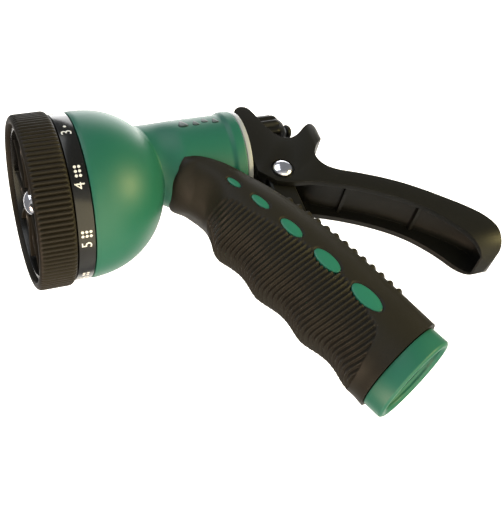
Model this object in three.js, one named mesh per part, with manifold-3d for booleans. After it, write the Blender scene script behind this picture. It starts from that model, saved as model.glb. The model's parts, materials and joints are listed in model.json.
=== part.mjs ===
// Garden hose spray nozzle: a nine-pattern turret dial, a green valve body, a ribbed grip and a rear
// squeeze lever. Millimetres. +X runs from the spray face to the rear, +Z is up, y = 0 is the plane of
// symmetry. The design axes start at the front lip of the dial, on the dial's axis. The finished group is
// shifted so that the centre of the hose inlet's mouth is the origin.
import * as THREE from 'three';
import { mergeVertices } from 'three/addons/utils/BufferGeometryUtils.js';
import Module from 'manifold-3d';

const wasm = await Module();
wasm.setup();

// ---- driving dimensions ----------------------------------------------------------------------------
const GAP = 0.3; // clearance between neighbouring pieces
const ROUND = 26; // segments round a large circle
const SMALL_ROUND = 14; // segments round a small circle
const HOLE_ROUND = 6; // segments round a drilled hole

const PATTERNS = 9;
const PATTERN_STEP = (2 * Math.PI) / PATTERNS;
const PORT_RISE = 15; // height of the water port, the stem and the pattern circle above the dial axis
const RING = { rear: 12.4, outer: 30, inner: 26.8, ribs: 108, ribDepth: 0.8 };
const BAND = { front: 12.7, rear: 18.4, radius: 28.4 };
const DRUM = { front: 1.4, radius: 26.5, recess: 24.6, floor: 5.9 };
const FACE = { front: 3.6, rear: 5.6, radius: 24.2 };
const POCKET = { radius: 4.3, shoulder: 15.8, outlet: 3.6, round: 10 };
const INSERT = { front: 6.2, rear: 15.5, radius: 4 };
const HUB = { radius: 4.8, front: 8, rear: 27 };
const SCREW = { head: 4.2, dome: 2.6, seat: 3.3, shank: 1.4, tip: 20 };

const BELL = { front: 18.7, length: 30.3, radius: 28.6, power: 2.25, wall: 2.4, lean: 0.06 };
const PLATE = { front: 18.9, rear: 21.9, radius: 25.8 };
const TUBE = { outer: 5.6, bore: 3.6, rear: 44.2 };
const PORT_SEAL = { front: 18.7, rear: 20.3, recess: 1.7, bore: 4.2, radius: 6.3 };
const RACE = { radius: 20, ball: 1.5, ballX: 19.5, dimple: 1.9, groove: 0.7 };
const RACE_CUP = { radius: 3.1, floor: 24.6, rear: 26 };

const BARREL = { front: 38, rear: 77.6, rise: 6.5, radius: 16.3, rim: 17.1, rimLength: 3.4 };
const CHAMBER = { front: 50, radius: 14 };
const SEAT = { front: 50.3, rear: 52.3, outer: 5, bore: 3.6 };
const POPPET = { front: 52.6, rear: 55.2, radius: 5 };
const SPRING = { front: 57.5, rear: 69.4, radius: 3.8, wire: 0.5, turns: 5 };
const BONNET = { flange: 16.6, thickness: 1.8, plugFront: 69.5, plug: 13.7 };
const STEM = { radius: 2, front: 53, rear: 102 };
const NUT = { front: 87.3, body: 89.4, rear: 97, end: 100.4, radius: 7.4, nose: 5, flutes: 12 };

const MOUTH = { x: 106.9, z: -94.8, radius: 16.5, collar: 7.2 };
const SOCKET = { radius: 13.3, depth: 14, cupRadius: 14.6, cupLength: 15.6, threadPitch: 2.2, threads: 3 };
const HANDLE = { tube: 7.8, bore: 5.6 };
const SPINE = new THREE.CubicBezierCurve3(
  new THREE.Vector3(58, 0, -3),
  new THREE.Vector3(77, 0, -23),
  new THREE.Vector3(92.4, 0, -65.1),
  new THREE.Vector3(MOUTH.x, 0, MOUTH.z),
);
// the grip's reach from the spine at six stations: finger side, palm side, half width
const GRIP = [
  { at: 0.05, front: 9.2, back: 10, half: 14.6 },
  { at: 0.17, front: 10.8, back: 12, half: 15.8 },
  { at: 0.3, front: 15, back: 14.4, half: 16.4 },
  { at: 0.5, front: 16.6, back: 16.8, half: 16.4 },
  { at: 0.75, front: 16.6, back: 17.8, half: 16.6 },
  { at: 0.97, front: 17.2, back: 17.3, half: 17.1 },
];
const FINGERS = { first: 0.27, pitch: 0.197, depth: 2.2, fade: 0.84 };
const SADDLE = { x: 58.8, z: -17.5, radius: 15.3, half: 15.8, post: 15.8, postX: 62.5 };
const TEETH = { first: 0.34, last: 0.78, count: 12, height: 1 };
// five green windows in the grip: place along the spine, half length, half width
const OVALS = [
  { at: 0.185, long: 2.9, wide: 1.2 },
  { at: 0.3, long: 3.8, wide: 1.6 },
  { at: 0.432, long: 4.7, wide: 2.1 },
  { at: 0.58, long: 5.6, wide: 2.6 },
  { at: 0.74, long: 6.4, wide: 3 },
];

const PIVOT = { x: 89.6, z: -9.6, pin: 2.2, hole: 2.5, head: 3.6, dome: 2 };
const LEVER = { half: 10.5, wall: 2.3, webFront: 80.6, webRear: 83.2, chamfer: 4 };
const BRACKET = { half: 7.8, boss: 5.8, front: 84.2, rear: 92.8 };

// ---- materials -------------------------------------------------------------------------------------
const finish = (color, roughness, metalness = 0) =>
  new THREE.MeshStandardMaterial({ color, roughness, metalness });
const GREEN = finish(0x206b57, 0.38);
const RUBBER_BLACK = finish(0x22221e, 0.7);
const GLOSS_BLACK = finish(0x151515, 0.25);
const SATIN_BLACK = finish(0x1d1e1c, 0.45);
const CHROME = finish(0xd0d2dc, 0.18, 1);
const BRASS = finish(0xb08d4a, 0.35, 1);
const STEEL = finish(0xb9bcc0, 0.3, 1);
const PALE_PLASTIC = finish(0xb8b6ae, 0.5);
const SEAL_RUBBER = finish(0x121212, 0.8);

// ---- solids ----------------------------------------------------------------------------------------
// closed geometry -> manifold solid, facing outward
function solid(geometry) {
  geometry.deleteAttribute('normal');
  geometry.deleteAttribute('uv');
  const welded = mergeVertices(geometry, 1e-4);
  const corners = welded.index.array;
  const faces = [];
  for (let i = 0; i < corners.length; i += 3) {
    const [a, b, c] = [corners[i], corners[i + 1], corners[i + 2]];
    if (a !== b && b !== c && c !== a) faces.push(a, b, c);
  }
  const build = (triangles) =>
    new wasm.Manifold(
      new wasm.Mesh({
        numProp: 3,
        vertProperties: new Float32Array(welded.attributes.position.array),
        triVerts: new Uint32Array(triangles),
      }),
    );
  const body = build(faces);
  return body.volume() > 0 ? body : build(faces.reverse());
}

// profile of [x, radius] points turned about the axis y = 0, z = rise
function turned(profile, rise = 0, segments = ROUND) {
  const points = profile.map(([x, radius]) => new THREE.Vector2(radius, x));
  const geometry = new THREE.LatheGeometry(points, segments);
  return solid(geometry.rotateZ(-Math.PI / 2).translate(0, 0, rise));
}

const disc = (front, rear, radius, rise = 0, segments = ROUND) =>
  turned([[front, 0], [front, radius], [rear, radius], [rear, 0]], rise, segments);

const washer = (front, rear, inner, outer, rise = 0, segments = SMALL_ROUND) =>
  turned(
    [[front, inner], [front, outer], [rear, outer], [rear, inner], [front, inner]],
    rise,
    segments,
  );

// dome whose flat side is at x = base and whose top is at x = base + height (height may be negative)
function domeProfile(base, radius, height, steps = 4) {
  const profile = [[base, 0]];
  for (let i = 0; i <= steps; i += 1) {
    const angle = ((Math.PI / 2) * i) / steps;
    const reach = i === steps ? 0 : radius * Math.cos(angle);
    profile.push([base + height * Math.sin(angle), reach]);
  }
  return profile;
}

// x-z outline extruded across y between -half and +half, its long edges bevelled
function slab(shape, half, bevel = 0, curveSegments = 2) {
  const corners = shape.getPoints(curveSegments);
  const distinct = corners.filter((p, i) => p.distanceTo(corners[(i + 1) % corners.length]) > 0.02);
  const geometry = new THREE.ExtrudeGeometry(new THREE.Shape(distinct), {
    depth: 2 * (half - bevel),
    bevelEnabled: bevel > 0,
    bevelThickness: bevel,
    bevelSize: bevel,
    bevelOffset: -bevel,
    bevelSegments: 1,
  });
  return solid(geometry.rotateX(Math.PI / 2).translate(0, half - bevel, 0));
}

const outline = (points) => new THREE.Shape(points.map(([x, z]) => new THREE.Vector2(x, z)));

const curve = (shape, points) => shape.splineThru(points.map(([x, z]) => new THREE.Vector2(x, z)));

// closed skin through equal rings of points, with a fan over each end
function loft(rings) {
  const size = rings[0].length;
  const middle = (ring) => ring.reduce((sum, p) => sum.add(p), new THREE.Vector3()).divideScalar(size);
  const points = [...rings.flat(), middle(rings[0]), middle(rings.at(-1))];
  const [start, end] = [points.length - 2, points.length - 1];
  const last = (rings.length - 1) * size;
  const faces = [];
  for (let j = 0; j < size; j += 1) {
    const next = (j + 1) % size;
    for (let i = 0; i + 1 < rings.length; i += 1) {
      const [a, b, c, d] = [i * size + j, i * size + next, (i + 1) * size + next, (i + 1) * size + j];
      faces.push(a, b, c, a, c, d);
    }
    faces.push(start, next, j, end, last + j, last + next);
  }
  const geometry = new THREE.BufferGeometry().setFromPoints(points);
  geometry.setIndex(faces);
  return solid(geometry);
}

// right-handed frame on the handle's spine: along it, across it toward the palm, and y
function spineFrame(at) {
  const along = SPINE.getTangent(at);
  return { centre: SPINE.getPoint(at), along, palm: new THREE.Vector3(-along.z, 0, along.x) };
}

// tube along the spine with stations of { at, front, back, half }
function spineLoft(stations, segments, power = 1) {
  return loft(
    stations.map(({ at, front, back, half }) => {
      const { centre, palm } = spineFrame(at);
      return Array.from({ length: segments }, (_, k) => {
        const angle = (2 * Math.PI * k) / segments;
        const [c, s] = [Math.cos(angle), Math.sin(angle)];
        const across = Math.sign(s) * Math.abs(s) ** power * (s > 0 ? back : front);
        const aside = Math.sign(c) * Math.abs(c) ** power * half;
        return centre.clone().addScaledVector(palm, across).add(new THREE.Vector3(0, aside, 0));
      });
    }),
  );
}

const roundTube = (from, to, radius, steps, segments = 18) =>
  spineLoft(
    Array.from({ length: steps + 1 }, (_, i) => {
      const at = from + ((to - from) * i) / steps;
      return { at, front: radius, back: radius, half: radius };
    }),
    segments,
  );

// move a solid turned about +X into the hose inlet: x = 0 becomes the mouth, -x runs up the handle
function atMouth(body) {
  const along = SPINE.getTangent(1);
  const degrees = (Math.atan2(-along.z, along.x) * 180) / Math.PI;
  return body.rotate([0, degrees, 0]).translate([MOUTH.x, 0, MOUTH.z]);
}

const join = (...bodies) => bodies.reduce((whole, body) => whole.add(body));
const cut = (body, ...tools) => tools.reduce((rest, tool) => rest.subtract(tool), body);

const nozzle = new THREE.Group();
nozzle.position.set(-MOUTH.x, 0, -MOUTH.z);

function place(name, body, material, about = [0, 0, 0]) {
  const { vertProperties, triVerts } = body.translate(about.map((v) => -v)).getMesh();
  const geometry = new THREE.BufferGeometry();
  geometry.setAttribute('position', new THREE.BufferAttribute(vertProperties, 3));
  geometry.setIndex(new THREE.BufferAttribute(triVerts, 1));
  geometry.computeVertexNormals();
  const mesh = new THREE.Mesh(geometry, material);
  mesh.name = name;
  mesh.position.set(...about);
  nozzle.add(mesh);
}

// angle of pattern k round the dial, pattern 0 at the top in line with the port
const patternPlace = (k, radius = PORT_RISE) => {
  const angle = Math.PI / 2 - k * PATTERN_STEP;
  return [0, -radius * Math.cos(angle), radius * Math.sin(angle)];
};

// ---- selector dial ---------------------------------------------------------------------------------
function dialGripRing() {
  const ribbed = new THREE.Shape();
  for (let k = 0; k < RING.ribs * 2; k += 1) {
    const angle = (Math.PI * k) / RING.ribs;
    const radius = RING.outer - (k % 2) * RING.ribDepth;
    ribbed[k === 0 ? 'moveTo' : 'lineTo'](radius * Math.cos(angle), radius * Math.sin(angle));
  }
  const bar = solid(
    new THREE.ExtrudeGeometry(ribbed, { depth: RING.rear, bevelEnabled: false }).rotateY(Math.PI / 2),
  );
  const envelope = turned([
    [0, RING.inner - 0.8],
    [0, RING.outer - 1],
    [1, RING.outer],
    [RING.rear - 1.6, RING.outer],
    [RING.rear, RING.outer - 1.4],
    [RING.rear, RING.inner],
    [1.1, RING.inner],
    [1.1, RING.inner - 0.8],
    [0, RING.inner - 0.8],
  ]);
  return bar.intersect(envelope);
}

function dialBody() {
  const cup = turned([
    [DRUM.floor, HUB.radius + GAP],
    [DRUM.floor, DRUM.recess],
    [DRUM.front, DRUM.recess],
    [DRUM.front, DRUM.radius],
    [BAND.front, DRUM.radius],
    [BAND.front, BAND.radius],
    [BAND.rear, BAND.radius],
    [BAND.rear, HUB.radius + GAP],
    [DRUM.floor, HUB.radius + GAP],
  ]);
  const groove = [RACE.radius - 1.2, RACE.radius + 1.2];
  const tools = [washer(BAND.rear - RACE.groove, BAND.rear + 1, ...groove, 0, ROUND)];
  for (let k = 0; k < PATTERNS; k += 1) {
    const pocket = disc(DRUM.floor - 1, POCKET.shoulder, POCKET.radius, 0, POCKET.round);
    const outlet = disc(POCKET.shoulder - 1, BAND.rear + 1, POCKET.outlet, 0, POCKET.round);
    const dimple = disc(BAND.rear - RACE.ball, BAND.rear + 1, RACE.dimple, 0, HOLE_ROUND);
    tools.push(join(pocket, outlet).translate(patternPlace(k)));
    tools.push(dimple.translate(patternPlace(k + 0.5 * PATTERNS, RACE.radius)));
  }
  return cut(cup, ...tools);
}

function dialFace() {
  const plate = washer(FACE.front, FACE.rear, 2.2, FACE.radius, 0, ROUND);
  const windows = Array.from({ length: PATTERNS }, (_, k) =>
    disc(FACE.front - 1, FACE.rear + 1, POCKET.outlet, 0, POCKET.round).translate(patternPlace(k)),
  );
  const slots = Array.from({ length: 2 * PATTERNS }, (_, k) => {
    const slot = new THREE.BoxGeometry(4, 4.6, 1.5).translate(FACE.front + 1, 0, 20.5);
    return solid(slot.rotateX((k + 0.5) * 0.5 * PATTERN_STEP));
  });
  return cut(plate, ...windows, ...slots);
}

// each insert shapes the water with its own set of drilled holes: number, circle and hole radius
const INSERTS = [
  { name: 'cone', holes: 1, circle: 0, drill: 1.9 },
  { name: 'flat', holes: 2, circle: 0.9, drill: 1.1 },
  { name: 'full', holes: 1, circle: 0, drill: 2.9 },
  { name: 'jet', holes: 1, circle: 0, drill: 1.3 },
  { name: 'mist', holes: 3, circle: 1.4, drill: 0.5 },
  { name: 'shower', holes: 6, circle: 2.3, drill: 0.6 },
  { name: 'soaker', holes: 4, circle: 1.7, drill: 1 },
  { name: 'centre', holes: 1, circle: 0, drill: 2.3 },
  { name: 'angle', holes: 5, circle: 2.1, drill: 0.8 },
];

function patternInsert({ holes, circle, drill }) {
  const blank = turned([
    [INSERT.front, 0],
    [INSERT.front, INSERT.radius - 0.4],
    [INSERT.front + 0.4, INSERT.radius],
    [INSERT.rear, INSERT.radius],
    [INSERT.rear, INSERT.radius - 0.8],
    [INSERT.front + 4, INSERT.radius - 0.8],
    [INSERT.front + 4, 0],
  ], 0, POCKET.round);
  const drills = Array.from({ length: holes }, (_, i) => {
    const angle = (2 * Math.PI * i) / holes;
    const bit = disc(INSERT.front - 1, INSERT.front + 5, drill, 0, HOLE_ROUND);
    return bit.translate([0, circle * Math.cos(angle), circle * Math.sin(angle)]);
  });
  return cut(blank, ...drills);
}

function selectorScrew() {
  const head = turned(domeProfile(SCREW.seat, SCREW.head, -SCREW.dome), 0, SMALL_ROUND);
  return join(head, disc(SCREW.seat - 1, SCREW.tip, SCREW.shank, 0, 16));
}

place('dial_grip_ring', dialGripRing(), RUBBER_BLACK);
place('dial_body', dialBody(), GLOSS_BLACK);
place('dial_face', dialFace(), SATIN_BLACK);
INSERTS.forEach((insert, k) => {
  const spot = patternPlace(k);
  place(`${insert.name}_insert`, patternInsert(insert).translate(spot), PALE_PLASTIC, spot);
});
place('selector_screw', selectorScrew(), CHROME);
place('selector_washer', washer(FACE.rear + GAP, FACE.rear + 1.9, 1.8, HUB.radius), STEEL);

// ---- bell and its port plate -----------------------------------------------------------------------
// the bell's radius falls as a superellipse from its front edge to its rear pole
function bellProfile(radius, length, steps = 9) {
  const profile = [[BELL.front, 0]];
  for (let i = 0; i < steps; i += 1) {
    const share = Math.sin(((Math.PI / 2) * i) / steps);
    profile.push([BELL.front + length * share, radius * Math.sqrt(1 - share ** BELL.power)]);
  }
  return [...profile, [BELL.front + length, 0]];
}

function bellSolid(radius, length) {
  const points = bellProfile(radius, length).map(([x, r]) => new THREE.Vector2(r, x));
  const lean = new THREE.Matrix4().makeShear(0, BELL.lean, 0, 0, 0, 0);
  const shift = new THREE.Matrix4().makeTranslation(0, 0, -BELL.lean * BELL.front);
  const geometry = new THREE.LatheGeometry(points, ROUND).rotateZ(-Math.PI / 2);
  return solid(geometry.applyMatrix4(shift.multiply(lean)));
}

function portPlate() {
  const blank = join(
    disc(PLATE.front, PLATE.rear, PLATE.radius),
    disc(HUB.front, HUB.rear, HUB.radius, 0, SMALL_ROUND),
    disc(PLATE.rear - 1, TUBE.rear, TUBE.outer, PORT_RISE, SMALL_ROUND),
    disc(PLATE.rear - 1, RACE_CUP.rear, RACE_CUP.radius, -RACE.radius, SMALL_ROUND),
  );
  return cut(
    blank,
    disc(HUB.front - 1, HUB.rear - 3, SCREW.shank + GAP, 0, SMALL_ROUND),
    disc(PLATE.front - 1, TUBE.rear + 1, TUBE.bore, PORT_RISE, SMALL_ROUND),
    disc(PLATE.front - 1, PLATE.front + PORT_SEAL.recess, PORT_SEAL.radius + GAP, PORT_RISE, SMALL_ROUND),
    disc(PLATE.front - 1, RACE_CUP.floor, RACE.ball + GAP, -RACE.radius, SMALL_ROUND),
  );
}

// ---- valve body: barrel, handle tube and hose collar in one moulding -------------------------------
function barrelSolid(grow) {
  const rimFront = BARREL.rear - BARREL.rimLength;
  return turned([
    [BARREL.front - grow, 0],
    [BARREL.front - grow, BARREL.radius + grow],
    [rimFront - 1.5 - grow, BARREL.radius + grow],
    [rimFront - grow, BARREL.rim + grow],
    [BARREL.rear - 0.7 + grow, BARREL.rim + grow],
    [BARREL.rear + grow, BARREL.rim - 0.7 + grow],
    [BARREL.rear + grow, 0],
  ], BARREL.rise);
}

function handleSolid(grow) {
  const cup = atMouth(disc(-SOCKET.cupLength - grow, -MOUTH.collar + 1, SOCKET.cupRadius + grow));
  return join(roundTube(0.06, 0.9, HANDLE.tube + grow, 8), cup);
}

const collarSolid = (grow) =>
  atMouth(turned([
    [-MOUTH.collar - grow, 0],
    [-MOUTH.collar - grow, MOUTH.radius + grow],
    [-0.8, MOUTH.radius + grow],
    [grow, MOUTH.radius - 0.8 + grow],
    [grow, 0],
  ]));

// oval pad on both sides of the handle, its faces at y = +-half
function ovalPad({ at, long, wide }, grow, half) {
  const { centre, along } = spineFrame(at);
  const shape = new THREE.Shape();
  shape.absellipse(0, 0, long + grow, wide + grow, 0, 2 * Math.PI);
  const tilt = Math.atan2(-along.z, along.x);
  return slab(shape, half, 0, 5).rotate([0, (tilt * 180) / Math.PI, 0]).translate([centre.x, 0, centre.z]);
}

const gripReach = (at, side) => {
  const after = GRIP.findIndex((station, i) => i === GRIP.length - 1 || station.at >= at);
  const [a, b] = [GRIP[Math.max(after - 1, 0)], GRIP[after]];
  const share = THREE.MathUtils.smoothstep(at, a.at, b.at);
  return THREE.MathUtils.lerp(a[side], b[side], share);
};

function socketBore() {
  const { radius, depth, threadPitch, threads } = SOCKET;
  const profile = [[-depth, 0], [-depth, radius]];
  for (let k = 0; k < threads; k += 1) {
    const x = -1.6 - (threads - k) * threadPitch;
    profile.push([x, radius], [x + 0.35 * threadPitch, radius - 0.8]);
    profile.push([x + 0.6 * threadPitch, radius - 0.8], [x + 0.95 * threadPitch, radius]);
  }
  return atMouth(turned([...profile, [-1, radius], [1, radius + 1.2], [1, 0]]));
}

function valveBody() {
  const pads = OVALS.map((oval) => ovalPad(oval, 0, gripReach(oval.at, 'half') - 0.5));
  const seatHole = disc(BARREL.front - 1, CHAMBER.front + 1, SEAT.bore, PORT_RISE, SMALL_ROUND);
  const tubeSocket = disc(BARREL.front - 1, TUBE.rear + 1.8, TUBE.outer + GAP, PORT_RISE, SMALL_ROUND);
  const chamber = disc(CHAMBER.front, BARREL.rear + 1, CHAMBER.radius, BARREL.rise);
  return cut(
    join(barrelSolid(0), handleSolid(0), collarSolid(0), ...pads),
    seatHole,
    tubeSocket,
    chamber,
    roundTube(0.1, 0.89, HANDLE.bore, 8, 14),
    socketBore(),
  );
}

const bellHousing = cut(
  bellSolid(BELL.radius, BELL.length),
  bellSolid(BELL.radius - BELL.wall, BELL.length - BELL.wall),
  disc(BELL.front - 1, PLATE.rear + GAP, PLATE.radius + GAP),
  barrelSolid(GAP),
);

place('bell_housing', bellHousing, GREEN);
place('port_plate', portPlate(), SATIN_BLACK);
place(
  'port_seal',
  washer(PORT_SEAL.front, PORT_SEAL.rear, PORT_SEAL.bore, PORT_SEAL.radius, PORT_RISE),
  SEAL_RUBBER,
);
place('transfer_seal', washer(TUBE.rear + GAP, TUBE.rear + 1.5, 3.9, TUBE.outer, PORT_RISE), SEAL_RUBBER);
place(
  'detent_ball',
  solid(new THREE.SphereGeometry(RACE.ball, 12, 8).translate(RACE.ballX, 0, -RACE.radius)),
  STEEL,
);
place('valve_body', valveBody(), GREEN);
place('valve_seat', washer(SEAT.front, SEAT.rear, SEAT.bore, SEAT.outer, PORT_RISE), BRASS);

// ---- lever bracket and grip ------------------------------------------------------------------------
// the bracket stands on the handle tube and comes up through a slot in the grip
const bracketNeck = (grow) => {
  const [front, rear] = [BRACKET.front - grow, BRACKET.rear + grow];
  return slab(outline([[front, -12], [front, -45], [rear, -45], [rear, -11]]), BRACKET.half + grow, 0.6);
};

function pivotHole() {
  const hole = new THREE.CylinderGeometry(PIVOT.hole, PIVOT.hole, 40, SMALL_ROUND);
  return solid(hole.translate(PIVOT.x, 0, PIVOT.z));
}

function leverBracket() {
  const boss = new THREE.CylinderGeometry(BRACKET.boss, BRACKET.boss, 2 * BRACKET.half, 20);
  const block = join(solid(boss.translate(PIVOT.x, 0, PIVOT.z)), bracketNeck(0));
  return cut(block, pivotHole(), handleSolid(GAP), barrelSolid(GAP));
}

function gripSleeve() {
  const steps = 20;
  const stations = Array.from({ length: steps + 1 }, (_, i) => {
    const at = GRIP[0].at + ((GRIP.at(-1).at - GRIP[0].at) * i) / steps;
    const wave = Math.sin((Math.PI * (at - FINGERS.first)) / FINGERS.pitch) ** 2;
    const fading = 1 - THREE.MathUtils.smoothstep(at, FINGERS.fade, 0.93);
    const scallop = at > FINGERS.first ? FINGERS.depth * fading * wave ** 0.8 : 0;
    return {
      at,
      front: gripReach(at, 'front') - scallop,
      back: gripReach(at, 'back'),
      half: gripReach(at, 'half'),
    };
  });
  const sleeve = spineLoft(stations, 18, 0.9);
  const round = new THREE.Shape().absarc(SADDLE.x, SADDLE.z, SADDLE.radius, 0, 2 * Math.PI);
  const post = new THREE.CylinderGeometry(SADDLE.post, SADDLE.post, 100, ROUND);
  const upright = solid(post.rotateX(Math.PI / 2).translate(SADDLE.postX, 0, 0));
  const above = outline([[44, 4], [84, 4], [84, -32], [72, -34], [66, -26], [61, -18], [54, -10], [44, -7]]);
  const lobe = slab(round, SADDLE.half, 3.5, 14).intersect(upright).intersect(slab(above, 40));
  const teeth = Array.from({ length: TEETH.count }, (_, i) => {
    const at = TEETH.first + ((TEETH.last - TEETH.first) * i) / (TEETH.count - 1);
    const { centre, palm } = spineFrame(at);
    const root = centre.clone().addScaledVector(palm, gripReach(at, 'back') - 0.6);
    const tooth = new THREE.CylinderGeometry(TEETH.height + 0.6, TEETH.height + 0.6, 9, 6);
    return solid(tooth.translate(root.x, 0, root.z));
  });
  const shell = join(sleeve, lobe, ...teeth);
  const beyondEnd = atMouth(disc(-MOUTH.collar - GAP, 30, 40));
  const windows = OVALS.map((oval) => ovalPad(oval, GAP, 40));
  const bracketSlot = bracketNeck(GAP);
  const bellClear = bellSolid(BELL.radius + GAP, BELL.length + GAP);
  const bonnetClear = disc(BARREL.rear - 1, BARREL.rear + 2.4, BONNET.flange + GAP, BARREL.rise);
  const neighbours = [handleSolid(GAP), barrelSolid(GAP), bellClear, bonnetClear, bracketSlot];
  return cut(shell, beyondEnd, ...neighbours, ...windows);
}

place('grip_sleeve', gripSleeve(), RUBBER_BLACK);

// ---- hose inlet ------------------------------------------------------------------------------------
function inletScreen() {
  const { radius, depth } = SOCKET;
  const holes = Array.from({ length: 12 }, (_, k) => {
    const angle = (Math.PI * k) / 6;
    const reach = k % 2 ? 5.4 : 2.8;
    const hole = disc(-depth, -depth + 3, 0.9, 0, HOLE_ROUND);
    return hole.translate([0, reach * Math.cos(angle), reach * Math.sin(angle)]);
  });
  return atMouth(cut(disc(-depth + GAP, -depth + 1.3, radius - GAP, 0, ROUND), ...holes));
}

place('inlet_screen', inletScreen(), STEEL);
place(
  'hose_washer',
  atMouth(washer(1.6 - SOCKET.depth, 4.4 - SOCKET.depth, 7.5, SOCKET.radius - GAP, 0, ROUND)),
  SEAL_RUBBER,
);

// ---- rear bonnet and seals -------------------------------------------------------------------------
function rearBonnet() {
  const { rear, rise } = BARREL;
  const cap = join(
    disc(rear + GAP, rear + GAP + BONNET.thickness, BONNET.flange, rise),
    disc(BONNET.plugFront, rear + GAP + 0.5, BONNET.plug, rise),
  );
  return cut(
    cap,
    disc(BONNET.plugFront - 1, rear + 5, STEM.radius + GAP, PORT_RISE, SMALL_ROUND),
    disc(BONNET.plugFront - 1, rear - 3, 4.4, PORT_RISE, SMALL_ROUND),
    washer(BONNET.plugFront + 5.4, BONNET.plugFront + 7, 12.2, 20, rise, ROUND),
  );
}

place('rear_bonnet', rearBonnet(), GLOSS_BLACK);
place(
  'bonnet_seal',
  washer(BONNET.plugFront + 5.6, BONNET.plugFront + 6.8, 12.4, BONNET.plug + 0.1, BARREL.rise, ROUND),
  SEAL_RUBBER,
);
place('stem_seal', washer(BARREL.rear - 5.9, BARREL.rear - 3.4, 2.15, 4.1, PORT_RISE), SEAL_RUBBER);
place('seal_retainer', washer(SPRING.rear + GAP, BARREL.rear - 6.2, 2.3, 4.1, PORT_RISE), BRASS);

// ---- valve stem, poppet and return spring ----------------------------------------------------------
class Helix extends THREE.Curve {
  getPoint(share) {
    const angle = 2 * Math.PI * SPRING.turns * share;
    const along = (SPRING.rear - SPRING.front - 2 * SPRING.wire) * share;
    return new THREE.Vector3(along, SPRING.radius * Math.cos(angle), SPRING.radius * Math.sin(angle));
  }
}

function valveSpring() {
  const wire = new THREE.Shape().absarc(0, 0, SPRING.wire, 0, 2 * Math.PI);
  const coil = new THREE.ExtrudeGeometry(wire, {
    steps: SPRING.turns * 9,
    extrudePath: new Helix(),
    bevelEnabled: false,
    curveSegments: 3,
  });
  return solid(coil.translate(SPRING.front + SPRING.wire, 0, PORT_RISE));
}

function valveStem() {
  return join(
    disc(STEM.front, STEM.rear, STEM.radius, PORT_RISE, SMALL_ROUND),
    disc(STEM.rear - 0.2, STEM.rear + 0.5, 1.4, PORT_RISE, SMALL_ROUND),
    turned(domeProfile(STEM.rear + 0.5, 2.7, 2), PORT_RISE, SMALL_ROUND),
  );
}

function adjustingNut() {
  const body = turned([
    [NUT.front, STEM.radius + GAP],
    [NUT.front, NUT.nose],
    [NUT.body, NUT.radius],
    [NUT.rear, NUT.radius],
    [NUT.end, NUT.nose - 0.6],
    [NUT.end, STEM.radius + GAP],
    [NUT.front, STEM.radius + GAP],
  ], PORT_RISE, 2 * NUT.flutes);
  const flutes = Array.from({ length: NUT.flutes }, (_, k) => {
    const angle = (2 * Math.PI * (k + 0.5)) / NUT.flutes;
    const flute = disc(NUT.front - 1, NUT.rear + 0.6, 0.8, PORT_RISE, HOLE_ROUND);
    return flute.translate([0, NUT.radius * Math.cos(angle), NUT.radius * Math.sin(angle)]);
  });
  return cut(body, ...flutes);
}

place('valve_stem', valveStem(), STEEL);
place(
  'poppet_washer',
  washer(POPPET.front, POPPET.rear, STEM.radius + GAP, POPPET.radius, PORT_RISE),
  SEAL_RUBBER,
);
place(
  'poppet_plate',
  washer(POPPET.rear + GAP, SPRING.front - GAP, STEM.radius + GAP, POPPET.radius, PORT_RISE),
  BRASS,
);
place('valve_spring', valveSpring(), STEEL);
place('thrust_washer', washer(85.8, 87, STEM.radius + GAP, 6, PORT_RISE), PALE_PLASTIC);
place('adjusting_nut', adjustingNut(), SATIN_BLACK);

// ---- lever, its bracket and its pin ----------------------------------------------------------------
function leverOutline() {
  const shape = new THREE.Shape();
  shape.moveTo(LEVER.webFront, -9);
  shape.lineTo(LEVER.webFront, 17.5);
  curve(shape, [[81.3, 19.8], [83.6, 21.2], [86.3, 20.4], [88, 17.2]]);
  curve(shape, [[90, 9.6], [91.8, 3.4], [95.6, 1.3], [101.4, 3], [106.5, 6.4], [110.2, 8.8]]);
  curve(shape, [[112, 7], [110.2, 2.4], [106.9, -1], [104.6, -4.2], [106.8, -7.8], [112.3, -11.7]]);
  curve(shape, [[126.9, -18.3], [140.6, -26.5], [149.4, -33.7], [156, -40.8], [158.4, -47.4]]);
  curve(shape, [[158, -53], [155.4, -57.6], [151.6, -59.4]]);
  shape.lineTo(148.8, -58);
  curve(shape, [[148.6, -53], [144.4, -46.6], [137.5, -39.6], [126.3, -29.6]]);
  curve(shape, [[111.5, -20.8], [98, -16.4], [88.5, -15.8], [84.4, -14]]);
  return shape;
}

function leverHollow() {
  const shape = new THREE.Shape();
  shape.moveTo(LEVER.webRear, -24);
  shape.lineTo(LEVER.webRear, -1.5);
  curve(shape, [[90, -1.7], [96, -1.6], [100.6, -2.6], [102.6, -6.2], [106, -10.4], [111.4, -14.5]]);
  curve(shape, [[126, -21], [139.2, -29], [147.6, -36], [153.6, -42.6], [155.8, -47.8]]);
  curve(shape, [[155.2, -52.4], [152.6, -55.6]]);
  shape.lineTo(140, -53);
  shape.lineTo(108, -38);
  return shape;
}

// plan view of the lever, its front corners cut off beside the barrel
function leverPlan() {
  const { half, webFront, chamfer } = LEVER;
  const plan = new THREE.Shape();
  plan.moveTo(webFront - 1, chamfer - half);
  plan.lineTo(webFront + chamfer, -half - 1);
  plan.lineTo(200, -half - 1);
  plan.lineTo(200, half + 1);
  plan.lineTo(webFront + chamfer, half + 1);
  plan.lineTo(webFront - 1, half - chamfer);
  return solid(new THREE.ExtrudeGeometry(plan, { depth: 200, bevelEnabled: false }).translate(0, 0, -100));
}

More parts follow.
